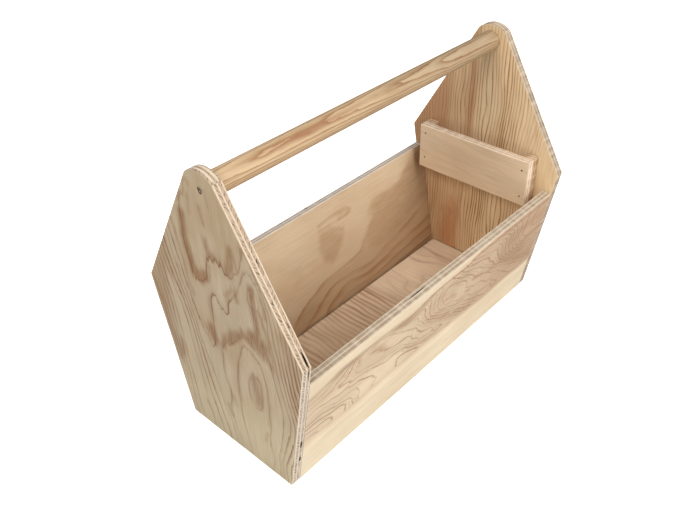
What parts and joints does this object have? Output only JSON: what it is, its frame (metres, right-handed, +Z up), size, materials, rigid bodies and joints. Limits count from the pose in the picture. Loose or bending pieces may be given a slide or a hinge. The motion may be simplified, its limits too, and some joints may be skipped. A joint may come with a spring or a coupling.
{
  "type": "carpenter toolbox",
  "caption": "Open wooden carpenter's toolbox: house-shaped plywood ends, leaning sides, flat bottom, round carrying handle and a slotted tool rack inside one end.",
  "frame": {"origin": "on the floor under the middle of the box", "axes": "+X along the length towards the end with the tool rack, -Y towards the front side panel, +Z up"},
  "size_m": [0.61, 0.2996, 0.4713],
  "materials": {
    "fir_plywood": "bare sanded softwood plywood, five plies visible on the edges",
    "rack_plywood": "bare sanded plywood with a plain pale face",
    "pine_dowel": "bare sanded pine",
    "joint_pin_wood": "fluted hardwood pin",
    "zinc_steel": "zinc plated",
    "dark_steel": "dull dark steel"
  },
  "bodies": {
    "root": {"left_end_panel": "fir_plywood", "right_end_panel": "fir_plywood", "front_side_panel": "fir_plywood", "back_side_panel": "fir_plywood", "bottom_panel": "fir_plywood", "handle_dowel": "pine_dowel", "rack_board": "rack_plywood", "rack_spacer_front": "fir_plywood", "rack_spacer_back": "fir_plywood", "handle_screw_left": "zinc_steel", "handle_screw_right": "zinc_steel", "rack_nail_1": "dark_steel", "rack_nail_2": "dark_steel", "rack_nail_3": "dark_steel", "rack_nail_4": "dark_steel", "corner_pin_left_front_1": "joint_pin_wood", "corner_pin_left_front_2": "joint_pin_wood", "corner_pin_left_front_3": "joint_pin_wood", "corner_pin_left_back_1": "joint_pin_wood", "corner_pin_left_back_2": "joint_pin_wood", "corner_pin_left_back_3": "joint_pin_wood", "corner_pin_right_front_1": "joint_pin_wood", "corner_pin_right_front_2": "joint_pin_wood", "corner_pin_right_front_3": "joint_pin_wood", "corner_pin_right_back_1": "joint_pin_wood", "corner_pin_right_back_2": "joint_pin_wood", "corner_pin_right_back_3": "joint_pin_wood", "bottom_pin_left_front": "joint_pin_wood", "bottom_pin_left_back": "joint_pin_wood", "bottom_pin_right_front": "joint_pin_wood", "bottom_pin_right_back": "joint_pin_wood", "bottom_pin_front_1": "joint_pin_wood", "bottom_pin_front_2": "joint_pin_wood", "bottom_pin_front_3": "joint_pin_wood", "bottom_pin_back_1": "joint_pin_wood", "bottom_pin_back_2": "joint_pin_wood", "bottom_pin_back_3": "joint_pin_wood"}
  },
  "joints": []
}
